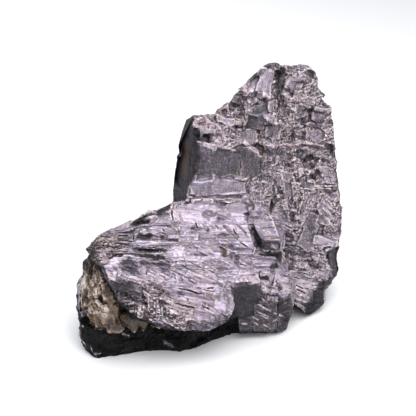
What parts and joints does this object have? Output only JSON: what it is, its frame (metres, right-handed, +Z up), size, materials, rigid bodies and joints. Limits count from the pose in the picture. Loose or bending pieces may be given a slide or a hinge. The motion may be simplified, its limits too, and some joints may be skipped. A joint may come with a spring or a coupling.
{
  "type": "galena specimen",
  "caption": "Hand specimen of galena: an upright cleaved slab behind a sloping stepped bench, with quartz at the left end of its dark foot.",
  "frame": {"origin": "a point of the flat foot that the specimen rests on, under the middle of the bench", "axes": "+Z up, +X along the specimen from its quartz end to the tall slab, +Y from the bench to the back of the slab"},
  "size_m": [0.0832, 0.061, 0.0766],
  "materials": {
    "galena": "bright to dull metallic lead grey, stepped cleavage with dark tarnish and a few brown stains",
    "quartz": "milky to brown, glassy broken quartz"
  },
  "bodies": {
    "root": {"galena": "galena", "quartz": "quartz"}
  },
  "joints": []
}
